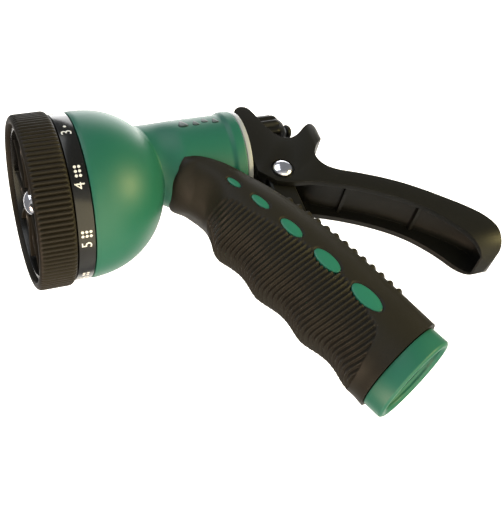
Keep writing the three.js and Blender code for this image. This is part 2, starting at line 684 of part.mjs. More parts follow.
function lever() {
  const { half, wall, webRear } = LEVER;
  const behindWeb = outline([[webRear, 6], [webRear, 26], [104, 26], [104, 16], [92, 6]]);
  const slot = { low: PORT_RISE - 4, high: PORT_RISE + 2.9 };
  const stemSlot = outline([[70, slot.low], [92, slot.low], [92, slot.high], [70, slot.high]]);
  const rocker = new THREE.CylinderGeometry(2.3, 2.3, 2 * (half - wall) + 1, 12);
  const shell = cut(
    slab(leverOutline(), half, 1.2).intersect(leverPlan()),
    slab(leverHollow(), half - wall),
    slab(behindWeb, half - wall),
  );
  return cut(
    shell.add(solid(rocker.translate(webRear, 0, PORT_RISE))),
    slab(stemSlot, STEM.radius + 0.5),
    pivotHole(),
  );
}

function pivotRivet() {
  const { x, z, pin, head, dome } = PIVOT;
  const seat = LEVER.half + GAP;
  const shaft = solid(new THREE.CylinderGeometry(pin, pin, 2 * seat + 1, SMALL_ROUND));
  const nearHead = turned(domeProfile(seat, head, dome), 0, SMALL_ROUND).rotate([0, 0, -90]);
  const farHead = turned(domeProfile(seat, head, dome), 0, SMALL_ROUND).rotate([0, 0, 90]);
  return join(shaft, nearHead, farHead).translate([x, 0, z]);
}

place('lever_bracket', leverBracket(), SATIN_BLACK);
place('lever', lever(), SATIN_BLACK);
place('pivot_rivet', pivotRivet(), CHROME);

export default nozzle;
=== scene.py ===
# %% [markdown]
# # A garden hose spray nozzle
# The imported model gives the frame: every size, every joint and every inner piece. This lesson dresses it.
# Each visible moulding is made again as a fine surface, in the place where its plain solid lies, and every
# piece gets a node material. Lengths in the recipes are millimetres from the front lip of the dial, along
# the dial's axis, because that is how a maker would measure the object.

# %% Load the frame
import json
import math

import bmesh
import bpy
import numpy as np
from mathutils import Matrix, Vector


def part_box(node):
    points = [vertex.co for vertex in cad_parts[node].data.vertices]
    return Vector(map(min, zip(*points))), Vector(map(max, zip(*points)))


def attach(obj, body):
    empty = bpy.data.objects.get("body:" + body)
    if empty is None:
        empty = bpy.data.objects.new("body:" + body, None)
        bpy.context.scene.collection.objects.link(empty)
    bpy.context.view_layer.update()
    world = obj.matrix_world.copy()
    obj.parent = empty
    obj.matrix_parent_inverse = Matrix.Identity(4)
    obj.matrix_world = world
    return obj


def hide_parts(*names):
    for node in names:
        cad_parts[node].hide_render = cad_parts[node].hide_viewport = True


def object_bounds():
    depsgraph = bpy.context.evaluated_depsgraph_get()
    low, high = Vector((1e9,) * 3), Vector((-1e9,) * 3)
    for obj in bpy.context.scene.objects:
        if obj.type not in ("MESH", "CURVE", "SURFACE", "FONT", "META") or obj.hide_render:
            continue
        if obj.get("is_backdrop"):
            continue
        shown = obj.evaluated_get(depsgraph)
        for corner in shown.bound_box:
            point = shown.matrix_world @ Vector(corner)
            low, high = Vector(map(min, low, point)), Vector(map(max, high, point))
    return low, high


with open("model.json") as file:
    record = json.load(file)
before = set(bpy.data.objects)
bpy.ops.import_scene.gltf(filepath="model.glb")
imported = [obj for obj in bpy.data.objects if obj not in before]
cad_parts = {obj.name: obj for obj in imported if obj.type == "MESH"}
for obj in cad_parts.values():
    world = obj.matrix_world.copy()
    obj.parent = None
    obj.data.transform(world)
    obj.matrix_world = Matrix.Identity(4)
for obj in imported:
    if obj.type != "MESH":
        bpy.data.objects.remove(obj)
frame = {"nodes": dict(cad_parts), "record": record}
cad_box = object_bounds()
ring_low, ring_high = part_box("dial_grip_ring")
ORIGIN = np.array([ring_low.x, 0.0, (ring_low.z + ring_high.z) / 2])
MM = 0.001

# %% [markdown]
# ## Small tools
# A surface is a grid of points: rows along the shape, columns round it. Four neighbours make a face. The
# grid is made as whole arrays, and only the mesh call sees single faces.


# %% Grid, profile and mesh tools
def smoothstep(low, high, value):
    """0 below low, 1 above high, and 3s^2 - 2s^3 between, with s the share of the way."""
    s = np.clip((value - low) / (high - low), 0, 1)
    return s * s * (3 - 2 * s)


def unit(v):
    """Each row of v divided by its own length."""
    return v / np.linalg.norm(v, axis=-1, keepdims=True)


def grid_faces(rows, columns, round_rows=False):
    """Quads of a grid whose columns always close on themselves; round_rows closes the rows too."""
    i = np.arange(rows if round_rows else rows - 1)[:, None]
    j = np.arange(columns)[None, :]
    below, beside = (i + 1) % rows, (j + 1) % columns
    corners = [i * columns + j, i * columns + beside, below * columns + beside, below * columns + j]
    return np.stack([np.broadcast_to(c, (i.size, columns)) for c in corners], -1).reshape(-1, 4)


def make(name, points, faces, material, body=None, sharp=35.0, closed=True):
    """Mesh from points in millimetres; doubles are merged and faces turned outwards on a closed shape."""
    mesh = bpy.data.meshes.new(name)
    mesh.from_pydata((np.asarray(points) * MM + ORIGIN).tolist(), [], [list(map(int, f)) for f in faces])
    shape = bmesh.new()
    shape.from_mesh(mesh)
    bmesh.ops.remove_doubles(shape, verts=shape.verts, dist=2e-6)
    if closed:
        bmesh.ops.recalc_face_normals(shape, faces=shape.faces)
    shape.to_mesh(mesh)
    shape.free()
    mesh.shade_smooth()
    mesh.set_sharp_from_angle(angle=math.radians(sharp))
    piece = bpy.data.objects.new(name, mesh)
    bpy.context.scene.collection.objects.link(piece)
    if material:
        mesh.materials.append(material)
    if body:
        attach(piece, body)
    return piece


print("a grid of 3 rows and 4 columns has", len(grid_faces(3, 4)), "faces")

# %% [markdown]
# ## Profiles and curves
# Most parts of a nozzle are turned: one outline, carried round an axis. Its corners are softened first,
# since no moulded corner is truly sharp. A bent handle needs a curve to follow, and a smooth way to let
# its width change along that curve. Each tool is one formula on whole arrays.


# %% Profile and curve tools
def soften(profile, radius=0.4, steps=4):
    """Closed profile with each corner replaced by a quadratic arc that starts radius before the corner."""
    p = np.asarray(profile, float)
    before, after = np.roll(p, 1, 0) - p, np.roll(p, -1, 0) - p
    reach = lambda v: unit(v) * np.minimum(radius, 0.45 * np.linalg.norm(v, axis=1))[:, None]
    s = np.linspace(0, 1, steps + 1)[None, :, None]
    start, end, corner = (p + reach(before))[:, None], (p + reach(after))[:, None], p[:, None]
    return ((1 - s) ** 2 * start + 2 * s * (1 - s) * corner + s**2 * end).reshape(-1, 2)


def turned(profile, rise=0.0, segments=128, ripple=None, closed=True):
    """Points (x, radius) carried round the x axis at height rise: y = -r cos(a), z = rise + r sin(a)."""
    p = np.asarray(profile, float)
    a = np.linspace(0, 2 * np.pi, segments, endpoint=False)[None, :]
    x = np.broadcast_to(p[:, :1], (len(p), segments))
    r = p[:, 1:] + (ripple(x, a) if ripple else 0)
    points = np.stack([x, -r * np.cos(a), rise + r * np.sin(a)], -1).reshape(-1, 3)
    return points, grid_faces(len(p), segments, closed)


def dome(base, radius, height, steps=10):
    """Half ellipse from the axis at base, out to the rim and back to the axis at base + height."""
    a = np.linspace(0, np.pi / 2, steps)
    arc = np.stack([base + height * np.sin(a), radius * np.cos(a)], -1)
    return np.vstack([[base, 0], arc])


def bezier(corners, t):
    """Cubic curve through the first and last corner, pulled towards the two between, and its slope."""
    a, b, c, d = (np.asarray(p, float) for p in corners)
    t = np.asarray(t)[..., None]
    u = 1 - t
    return (
        u**3 * a + 3 * u * u * t * b + 3 * u * t * t * c + t**3 * d,
        3 * u * u * (b - a) + 6 * u * t * (c - b) + 3 * t * t * (d - c),
    )


def through(at, places, values):
    """Smooth cubic through the values at the places, its slopes taken from the neighbours."""
    x, y = np.asarray(places, float), np.asarray(values, float)
    slope = np.gradient(y, x)
    i = np.clip(np.searchsorted(x, at) - 1, 0, len(x) - 2)
    h = x[i + 1] - x[i]
    s = np.clip((at - x[i]) / h, 0, 1)
    return (
        (1 + 2 * s) * (1 - s) ** 2 * y[i]
        + s * s * (3 - 2 * s) * y[i + 1]
        + h * s * (1 - s) * ((1 - s) * slope[i] - s * slope[i + 1])
    )


print("a softened square has", len(soften([(0, 0), (1, 0), (1, 1), (0, 1)])), "points")

# %% [markdown]
# ## Finishes
# Moulded plastic is never one flat colour. Its tint drifts a little, its gloss varies where the mould was
# polished less, and a faint orange peel bends the reflections. One recipe with three noises gives all of
# them, and each material only changes the numbers. Values that are the same all over go on the shader's
# own sockets.


# %% The material recipe
def finish(name, colour, roughness, drift=0.06, grain=900.0, depth=0.00002, stretch=(1, 1, 1), **sockets):
    """Colour drifts by +-drift on a slow noise, roughness follows a second one, bump a fine third one."""
    material = bpy.data.materials.new(name)
    material.use_nodes = True
    nodes, links = material.node_tree.nodes, material.node_tree.links
    shader = nodes["Principled BSDF"]
    place = nodes.new("ShaderNodeTexCoord")
    mapping = nodes.new("ShaderNodeMapping")
    mapping.inputs["Scale"].default_value = stretch
    links.new(place.outputs["Object"], mapping.inputs["Vector"])

    def noise(scale, detail):
        """Output of a noise of the given scale, read in the object's own stretched space."""
        node = nodes.new("ShaderNodeTexNoise")
        node.inputs["Scale"].default_value = scale
        node.inputs["Detail"].default_value = detail
        links.new(mapping.outputs["Vector"], node.inputs["Vector"])
        return node.outputs["Fac"]

    tint = nodes.new("ShaderNodeMix")
    tint.data_type = "RGBA"
    tint.inputs["A"].default_value = [c * (1 - drift) for c in colour] + [1]
    tint.inputs["B"].default_value = [c * (1 + drift) for c in colour] + [1]
    links.new(noise(60, 3), tint.inputs["Factor"])
    links.new(tint.outputs["Result"], shader.inputs["Base Color"])
    gloss = nodes.new("ShaderNodeMapRange")
    gloss.inputs["To Min"].default_value, gloss.inputs["To Max"].default_value = roughness
    links.new(noise(140, 5), gloss.inputs["Value"])
    links.new(gloss.outputs["Result"], shader.inputs["Roughness"])
    bump = nodes.new("ShaderNodeBump")
    bump.inputs["Strength"].default_value = 0.5
    bump.inputs["Distance"].default_value = depth
    links.new(noise(grain, 2), bump.inputs["Height"])
    links.new(bump.outputs["Normal"], shader.inputs["Normal"])
    for socket, value in sockets.items():
        shader.inputs[socket.replace("_", " ")].default_value = value
    return material


DULL = {"Specular_IOR_Level": 0.22}
METAL = {"Metallic": 1.0}
print("a dull black has", DULL["Specular_IOR_Level"], "where 0.5 is the usual level")

# %% [markdown]
# ## The nozzle's own finishes
# The green body is a satin plastic. The grip and the dial's ring are soft blacks that reflect little, so
# their ribs show by shadow. The label band is a hard glossy black. The screw and rivet are bright plated,
# the stem and brass parts are turned, and their fine lines come from a noise stretched along one axis.

# %% Finishes
GREEN = finish("green_plastic", (0.0115, 0.118, 0.08), (0.4, 0.5), 0.05, 700, Specular_IOR_Level=0.4)
GREEN_PAD = finish("green_pad", (0.016, 0.16, 0.105), (0.3, 0.4), 0.08, 900, 0.00002)
RUBBER = finish("soft_black_rubber", (0.0125, 0.0108, 0.0068), (0.5, 0.64), 0.16, 1600, 0.00004, **DULL)
RING_RUBBER = finish("dial_rubber", (0.0135, 0.0105, 0.0062), (0.46, 0.6), 0.2, 1600, 0.00004, **DULL)
GLOSS_BLACK = finish("gloss_black_plastic", (0.0055, 0.0056, 0.0054), (0.14, 0.24), 0.1, 500, 0.00001)
SATIN_BLACK = finish("satin_black_plastic", (0.0085, 0.0082, 0.0066), (0.34, 0.48), 0.12, 1200, 3e-5, **DULL)
FACE_BLACK = finish("dial_face_plastic", (0.016, 0.012, 0.008), (0.2, 0.32), 0.15, 900, 0.00002)
CHROME = finish("bright_plate", (0.8, 0.8, 0.86), (0.12, 0.24), 0.03, 500, 0.00001, **METAL)
STEEL = finish("brushed_steel", (0.55, 0.56, 0.58), (0.24, 0.4), 0.06, 300, 0.00002, (1, 9, 9), **METAL)
BRASS = finish("turned_brass", (0.46, 0.29, 0.09), (0.22, 0.36), 0.08, 300, 0.00002, (9, 1, 1), **METAL)
PALE = finish("pale_plastic", (0.42, 0.4, 0.35), (0.36, 0.5), 0.06, 900, 0.00002)
# The rear cap's pale grey is a painted highlight: it stands in for the light a glossy black cap reflects
# along its top rim.
HIGHLIGHT_GREY = finish("pale_grey_painted_highlight", (0.36, 0.38, 0.4), (0.3, 0.42), 0.06, 900, 0.00002)
# The inserts' colour is darker than pale plastic: painted shade for the deep dial face they sit in.
INSERT_SHADED = finish("insert_painted_shade", (0.11, 0.095, 0.075), (0.3, 0.45), 0.15, 900, 0.00002)
SEAL = finish("seal_rubber", (0.008, 0.008, 0.008), (0.6, 0.75), 0.1, 1500, 0.00003)
PRINT_WHITE = finish("white_print", (0.78, 0.79, 0.82), (0.35, 0.5), 0.04, 1500, 0.00001)
PRINT_DARK = finish("dark_print", (0.006, 0.03, 0.024), (0.4, 0.5), 0.1, 1500, 0.00001)
print(len(bpy.data.materials), "materials")

# %% [markdown]
# ## Dressing the frame's own pieces
# Many inner pieces stay as the frame made them: the spring, the seals, the brass seat, the nine inserts.
# Each takes the finish of its material slot. The inserts are the one exception: they stand in the dark
# face, and their colour is darker than other pale plastic as painted shade for that deep recess.

# %% Dress the frame
BY_SLOT = {
    "green_plastic": GREEN,
    "grip_rubber": RUBBER,
    "gloss_black_plastic": GLOSS_BLACK,
    "satin_black_plastic": SATIN_BLACK,
    "bright_metal": CHROME,
    "steel": STEEL,
    "brass": BRASS,
    "pale_plastic": PALE,
    "seal_rubber": SEAL,
}
for row in frame["record"]["subparts"]:
    # The inserts take the darker colour, painted shade for the deep face.
    dressed = INSERT_SHADED if row["node"].endswith("_insert") else BY_SLOT[row["material_slot"]]
    frame["nodes"][row["node"]].data.materials.clear()
    frame["nodes"][row["node"]].data.materials.append(dressed)
print(len(frame["nodes"]), "frame pieces have a material")

# %% [markdown]
# ## The dial's rubber ring
# A thumb turns the dial by this ring, so it has fine ribs all the way round. It is one profile carried
# round the axis, and the ribs are a ripple of the radius. The ripple fades out before both shoulders, as
# on the real moulding, where the ribs run out into round edges.

# %% Ribbed ring
RIBS = 108
RIB_DEPTH = 0.75
RING_MIDDLE_WALL = 28
RUN_STEPS = 12
corners = [(0.0, 27.1), (0.0, 28.5), (0.9, 29.76), (11.3, 29.76), (12.4, 28.6), (12.4, 26.9), (1.4, 26.9)]
soft_ring = soften(corners, 0.9, 5)
# the long outer run needs more points, so that the ripple can fade along it
ring_profile = []
for a, b in zip(soft_ring, np.roll(soft_ring, -1, 0)):
    count = RUN_STEPS if np.linalg.norm(a - b) > 3 and a[1] > RING_MIDDLE_WALL else 1
    ring_profile.append(a + (b - a) * (np.arange(count) / count)[:, None])
ring_profile = np.vstack(ring_profile)
ring_outside = (ring_profile[:, 1:] > RING_MIDDLE_WALL).astype(float)


def ring_ripple(x, a):
    """Grooves where the cosine of ribs times the angle is low, only between the two shoulders."""
    groove = (0.5 - 0.5 * np.cos(RIBS * a)) ** 2.2
    return -RIB_DEPTH * groove * smoothstep(0.3, 1.5, x) * (1 - smoothstep(11.2, 12.2, x)) * ring_outside


ring = make("ribbed_ring", *turned(ring_profile, 0, RIBS * 8, ring_ripple), RING_RUBBER, "selector", 50)
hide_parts("dial_grip_ring")
print("ring:", RIBS, "ribs,", len(ring.data.polygons), "faces")

# %% [markdown]
# ## The drum and its label band
# Behind the ring the drum shows as a smooth glossy band. The drum is a cup: its floor lies deep inside
# the dial, behind the face plate.

# %% Drum
drum_corners = [(1.4, 24.6), (1.4, 26.5), (12.6, 26.5), (12.7, 28.4), (18.3, 28.4), (18.3, 6)]
drum_profile = soften(drum_corners + [(6.5, 6), (6.5, 24.6)], 0.3, 3)
drum = make("label_drum", *turned(drum_profile, 0, 180), GLOSS_BLACK, "selector", 30)
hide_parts("dial_body")
print("drum:", len(drum.data.polygons), "faces")

# %% [markdown]
# ## The marks on the band
# Each of the nine patterns has a white mark: its number, and a small sign made of dots. The numbers start
# as text objects, become meshes while still flat, and are then rolled onto the band.

# %% Numbers and dots, rolled onto the band
BAND_RADIUS = 28.4
BAND_MIDDLE = 15.5
FIRST_MARK = math.radians(93.8)
MARK_STEP = math.radians(40)
PRINT = 0.06
DOT_ROWS = [(3, 3), (2, 1), (1, 1), (3, 2), (2, 3), (2, 2), (1, 3), (3, 1), (1, 2)]


def roll_on(flat, angle):
    """Flat u, v, w become: angle + u / R round the axis, v towards the front, w above the band."""
    turn = angle + flat[:, 0] / BAND_RADIUS
    r = BAND_RADIUS + 0.01 + flat[:, 2]
    return np.stack([BAND_MIDDLE - flat[:, 1], -r * np.cos(turn), r * np.sin(turn)], -1)


def flat_number(text, height):
    """Vertices and faces of a filled number, its middle at the origin."""
    curve = bpy.data.curves.new("number", "FONT")
    curve.body = text
    curve.size = height * 1.38
    curve.extrude = PRINT / 2
    curve.align_x, curve.align_y = "CENTER", "CENTER"
    holder = bpy.data.objects.new("number", curve)
    bpy.context.scene.collection.objects.link(holder)
    bpy.context.view_layer.update()
    mesh = bpy.data.meshes.new_from_object(holder.evaluated_get(bpy.context.evaluated_depsgraph_get()))
    points = np.empty(len(mesh.vertices) * 3)
    mesh.vertices.foreach_get("co", points)
    faces = [list(p.vertices) for p in mesh.polygons]
    bpy.data.objects.remove(holder)
    return points.reshape(-1, 3) + [0, 0, PRINT / 2], faces


def flat_dot(u, v, radius=0.5, sides=14):
    """A thin round disc at u, v: two rings of points, a side wall and two lids."""
    a = np.linspace(0, 2 * np.pi, sides, endpoint=False)
    rim = np.stack([u + radius * np.cos(a), v + radius * np.sin(a), 0 * a], -1)
    faces = [list(range(sides))[::-1], list(range(sides, 2 * sides))]
    faces += grid_faces(2, sides).tolist()
    return np.vstack([rim, rim + [0, 0, PRINT]]), faces


print("a dot has", len(flat_dot(0, 0)[1]), "faces")

# %% [markdown]
# ## Laying out the nine marks
# The marks stand 40 degrees apart and read upwards when the nozzle is held level. A number comes first and
# its dots follow, in two or three columns at most, so that each mark is about five millimetres long.

# %% Nine marks
for k in range(9):
    angle = FIRST_MARK - k * MARK_STEP
    columns, rows = DOT_ROWS[k]
    marks = [flat_number(str(k + 1), 3.5)]
    marks[0][0][:, 0] -= 2.6
    for i in range(columns):
        for j in range(rows):
            marks.append(flat_dot(0.6 + 1.5 * i, (j - (rows - 1) / 2) * 1.35))
    points, faces = [], []
    for part_points, part_faces in marks:
        faces += [[v + sum(map(len, points)) for v in f] for f in part_faces]
        points.append(part_points)
    make(f"mark_{k + 1}", roll_on(np.vstack(points), angle), faces, PRINT_WHITE, "selector")
print("nine marks,", math.degrees(MARK_STEP), "degrees apart")

# %% [markdown]
# ## The dial's face
# The face is a plate with nine round windows, one in front of each insert. It is made from nine equal
# patches. A patch starts on the wall of its window, climbs over a raised rim and then stretches out to the
# edges of its own ninth of the plate.

# %% Face plate
FACE_OUTER = 24.3
FACE_INNER = 3.4
FACE_FRONT = 3.6
WINDOW = 3.9
WINDOW_CIRCLE = 15.0


def sector_reach(a, half_angle):
    """How far a ray from the window's centre goes before it leaves the ninth: the nearest of four edges."""
    c, s = np.cos(a), np.sin(a)
    wall = np.stack([np.sin(half_angle) * np.ones_like(a), np.sin(half_angle) * np.ones_like(a)])
    slant = np.stack([s * np.cos(half_angle) - c * np.sin(half_angle),
                      -s * np.cos(half_angle) - c * np.sin(half_angle)])
    sides = np.where(slant > 1e-6, WINDOW_CIRCLE * wall / np.where(slant > 1e-6, slant, 1), 1e3)
    outer = -WINDOW_CIRCLE * c + np.sqrt((WINDOW_CIRCLE * c) ** 2 + FACE_OUTER**2 - WINDOW_CIRCLE**2)
    inside = (WINDOW_CIRCLE * c) ** 2 + FACE_INNER**2 - WINDOW_CIRCLE**2
    inner = np.where((inside > 0) & (c < 0), -WINDOW_CIRCLE * c - np.sqrt(np.abs(inside)), 1e3)
    return np.minimum(np.minimum(sides[0], sides[1]), np.minimum(outer, inner))


around = np.linspace(0, 2 * np.pi, 72, endpoint=False)
edge = sector_reach(around, math.pi / 9)
rim = np.array([(0, 6.1), (0, 3.3), (0.15, 2.95), (0.45, 2.8), (0.75, 2.95), (0.9, 3.3), (0.95, FACE_FRONT)])
rim[:, 0] += WINDOW
reach = np.vstack([np.minimum(rim[:, :1], edge * 0.97), edge[None, :]])
depth = np.vstack([np.broadcast_to(rim[:, 1:], (len(rim), len(edge))), np.full((1, len(edge)), FACE_FRONT)])
face_points, face_quads = [], []
for k in range(9):
    turn = math.pi / 2 - k * 2 * math.pi / 9
    radial = WINDOW_CIRCLE + reach * np.cos(around)
    tangent = reach * np.sin(around)
    y = -(radial * math.cos(turn) - tangent * math.sin(turn))
    z = radial * math.sin(turn) + tangent * math.cos(turn)
    face_quads.append(grid_faces(len(reach), len(edge)) + k * reach.size)
    face_points.append(np.stack([depth, y, z], -1).reshape(-1, 3))
face = make("face_plate", np.vstack(face_points), np.vstack(face_quads), FACE_BLACK, "selector", 40)
thicken = face.modifiers.new("thickness", "SOLIDIFY")
thicken.thickness = 0.5 * MM
thicken.offset = -1
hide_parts("dial_face")
print("face plate:", len(face.data.polygons), "faces")

# %% [markdown]
# ## Blades between the windows
# Nine thin curved ribs stiffen the plate and catch the light in the deep dial. Each is a short profile
# with a ridge, carried outwards along a line that bends a little.

# %% Blades
blade_t = np.linspace(0, 1, 16)[:, None]
blade_points, blade_faces = [], []
for k in range(9):
    turn = math.pi / 2 - (k + 0.5) * 2 * math.pi / 9 + 0.28 * (blade_t - 0.5) ** 2
    radial = 5.5 + 18.0 * blade_t
    offset = np.array([-0.45, -0.45, 0.0, 0.45, 0.45])[None, :]
    forward = np.array([3.7, 2.2, 1.9, 2.2, 3.7])[None, :] + 0 * blade_t
    y = -(radial * np.cos(turn) - offset * np.sin(turn))
    z = radial * np.sin(turn) + offset * np.cos(turn)
    blade_faces.append(grid_faces(*forward.shape) + forward.size * k)
    blade_points.append(np.stack([forward, y, z], -1).reshape(-1, 3))
blades = make("face_blades", np.vstack(blade_points), np.vstack(blade_faces), RING_RUBBER, "selector", 40)
print("blades", len(blades.data.polygons), "faces")

# %% [markdown]
# ## The screw at the middle
# A low bright dome holds the dial on its hub. It is turned from a short rod and an arc, and the dome is
# polished metal, so it mirrors the light around it and needs very smooth shading.

# %% Dome screw
screw_profile = np.vstack([[(20, 0), (20, 1.4), (3.4, 1.4)], dome(3.4, 4.2, -2.6, 14)[1:]])
screw = make("dome_screw", *turned(screw_profile, 0, 64, closed=False), CHROME, "housing", 40)
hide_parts("selector_screw")
print("screw:", len(screw.data.polygons), "faces")

# %% [markdown]
# ## The green bell
# The bell is the body's front half, moulded in one with the barrel behind it. Its radius falls like a
# superellipse, steep at its rear, and it leans up a little. Where it meets the barrel the larger of the
# two radii counts, with a small round between them. Its front edge turns in behind the dial.

# %% Bell
BELL = {"front": 18.7, "length": 30.3, "radius": 28.6, "power": 2.25, "lean": 0.06, "wall": 2.4}
share = np.sin(np.linspace(0, np.pi / 2, 60))
BARREL_RISE, BARREL_RADIUS, FILLET, BELL_END = 6.5, 16.3, 2.5, 53.0


def neck(x):
    """Barrel radius and rise: towards the bell it narrows by 2 mm and climbs by 2.35 mm."""
    thin = 1 - smoothstep(47, 57, x)
    return BARREL_RADIUS - 2.0 * thin, BARREL_RISE + 2.35 * thin


def bell_radius(x):
    """Radius of the bell's own curve at x, and nothing past its end."""
    part = np.clip((x - BELL["front"]) / BELL["length"], 0, 1)
    return BELL["radius"] * np.sqrt(1 - part ** BELL["power"])


def bell_ripple(x, a):
    """Outside only: the larger of bell and barrel, rounded where they meet; the barrel lies off centre."""
    radius, rise = neck(x)
    off = rise - BELL["lean"] * (x - BELL["front"])
    barrel = off * np.sin(a) + np.sqrt(radius**2 - (off * np.cos(a)) ** 2) - 0.06
    bell = bell_radius(x)
    h = np.clip(0.5 + 0.5 * (bell - barrel) / FILLET, 0, 1)
    joined = barrel + (bell - barrel) * h + FILLET * h * (1 - h) * smoothstep(36, 42, x)
    outside = (np.arange(len(x)) < len(outer_x))[:, None]
    return (joined - bell) * outside * smoothstep(24, 36, x)


outer_x = np.concatenate([BELL["front"] + BELL["length"] * share[:-1], np.linspace(49, BELL_END, 14)])
outer = np.stack([outer_x, bell_radius(outer_x)], -1)
outer[0] += [0, -0.3]
back_share = share[::-1]
inner = np.stack([BELL["front"] + (BELL["length"] - BELL["wall"]) * back_share,
                  (BELL["radius"] - BELL["wall"]) * np.sqrt(1 - back_share ** BELL["power"])], -1)
bell_points, bell_faces = turned(np.vstack([outer, inner]), 0, 180, bell_ripple)
bell_points[:, 2] += BELL["lean"] * (bell_points[:, 0] - BELL["front"])
bell = make("green_bell", bell_points, bell_faces, GREEN, "housing", 60)
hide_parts("bell_housing")
print("bell:", len(bell.data.polygons), "faces")

# %% [markdown]
# ## The barrel and its rear cap
# The barrel holds the valve, and a cap closes it behind. Both are turned shapes. The barrel ends in a
# slightly wider rim, and its front narrows and climbs into the bell, so its points are moved after the
# turning. It needs extra rows there, or the neck would be one long facet.

# %% Barrel and rear cap
STEPS = 5
front_corners = soften([(36, 14), (36, BARREL_RADIUS), (72.7, BARREL_RADIUS), (74.2, 17.1), (77.6, 17.1),
                        (77.6, 15.2), (76.4, 14)], 0.55, STEPS)
after_front = 2 * (STEPS + 1)
neck_x = np.linspace(40, 60, 21)
neck_run = np.stack([neck_x, np.full(len(neck_x), BARREL_RADIUS)], -1)
barrel_profile = np.vstack([front_corners[:after_front], neck_run, front_corners[after_front:]])
barrel_points, barrel_faces = turned(barrel_profile, 0, 144)
narrow, climb = neck(barrel_points[:, 0])
barrel_points[:, 1:] *= (narrow / BARREL_RADIUS)[:, None]
barrel_points[:, 2] += climb
barrel = make("green_barrel", barrel_points, barrel_faces, GREEN, "housing", 40)
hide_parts("valve_body")
flange = soften([(77.9, 13.7), (77.9, 16.6), (79.7, 16.6), (79.7, 10)], 0.4, 4)[5:-5]
bonnet_profile = np.vstack([[(70, 0), (70, 13.7)], flange, [(79.7, 0)]])
# The cap is coloured pale grey as a painted highlight, in place of the reflection on a glossy black cap.
bonnet = make("rear_cap", *turned(bonnet_profile, BARREL_RISE, 128, closed=False), HIGHLIGHT_GREY, "housing", 40)
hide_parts("rear_bonnet")
print("barrel and cap:", len(barrel.data.polygons), "and", len(bonnet.data.polygons), "faces")

# %% [markdown]
# ## The hose collar
# The garden hose screws in here. The collar is turned along its own axis, as an outline with three thread
# ridges on its inner wall. Then its three directions are laid along the inlet, the palm side and the width
# of the nozzle. A true thread is a spiral, but plain ridges look the same in so dark a mouth.

# %% Hose collar
MOUTH = np.array([106.9, 0.0, -94.8])
INLET = np.array([0.4387, 0.0, -0.8986])
PALM = np.array([0.8986, 0.0, 0.4387])
SOCKET, CREST, THREAD_PITCH, SOCKET_DEPTH = 13.3, 12.5, 2.2, 14
ridge = ((1.9, SOCKET), (1.3, CREST), (0.7, CREST), (0.1, SOCKET))
thread = [(-1.6 - THREAD_PITCH * k + d, r) for k in range(1, 4) for d, r in ridge]
mouth_edge = [(-7.2, 10), (-7.2, 16.5), (-0.7, 16.5), (0, 15.7), (0, 14.5), (-1, SOCKET)]
collar_profile = soften(mouth_edge + thread + [(-SOCKET_DEPTH, SOCKET), (-SOCKET_DEPTH, 10)], 0.28, 3)


def tip_into_inlet(points):
    """x runs along the inlet's axis, z towards the palm, y stays, all from the middle of the mouth."""
    return MOUTH + points[:, :1] * INLET + points[:, 2:] * PALM + points[:, 1:2] * [0, 1, 0]


collar_points, collar_faces = turned(collar_profile, 0, 144)
collar = make("hose_collar", tip_into_inlet(collar_points), collar_faces, GREEN, "housing", 35)
print("collar:", len(collar.data.polygons), "faces")

# %% [markdown]
# ## The rubber grip
# The grip is the hard shape: a handle along a bent spine, with four finger waves in front, swelling at the
# top into a saddle that clasps the barrel. Each of these is easy to write as a field that is negative
# inside and positive outside. Rays are sent out from a centre line, and halving steps find where each ray
# leaves the joined field. The ribs, the palm teeth and the oval recesses then move that skin in or out.

# %% Grip: the fields
SPINE = [(58, -3), (77, -23), (92.4, -65.1), (106.9, -94.8)]
STATIONS = [-0.1, 0.05, 0.138, 0.2, 0.25, 0.32, 0.5, 0.75, 0.97]
FRONT_REACH = [5.4, 5.6, 6.4, 10.3, 14.0, 15.3, 16.6, 16.6, 17.2]
PALM_REACH = [9, 10, 11.6, 12.5, 13.6, 14.8, 16.8, 17.8, 17.3]
HALF_WIDTH = [14, 14.6, 15.6, 15.9, 16.2, 16.4, 16.4, 16.6, 17.1]
FINGER_FIRST, FINGER_PITCH, FINGER_DEPTH = 0.27, 0.197, 2.3
CORNER = 2.25
spine_t = np.linspace(-0.14, 1.02, 120)
spine_xz, spine_slope = bezier(SPINE, spine_t)
spine_along = unit(spine_slope)
spine_palm = np.stack([-spine_along[:, 1], spine_along[:, 0]], -1)


def on_spine(x, z):
    """Share along the spine of the nearest point, and the distance from it towards the palm."""
    gap = (x[..., None] - spine_xz[:, 0]) ** 2 + (z[..., None] - spine_xz[:, 1]) ** 2
    i = gap.argmin(-1)
    away = np.stack([x, z], -1) - spine_xz[i]
    ahead = (away * spine_along[i]).sum(-1) / np.linalg.norm(spine_slope[i], axis=-1)
    return spine_t[i] + ahead, (away * spine_palm[i]).sum(-1)


def blend_min(a, b, k):
    """The lower of two fields, rounded where they are within k of each other."""
    h = np.clip(0.5 + 0.5 * (b - a) / k, 0, 1)
    return b + (a - b) * h - k * h * (1 - h)


def blend_max(a, b, k):
    """The higher of two fields, rounded in the same way."""
    return -blend_min(-a, -b, k)


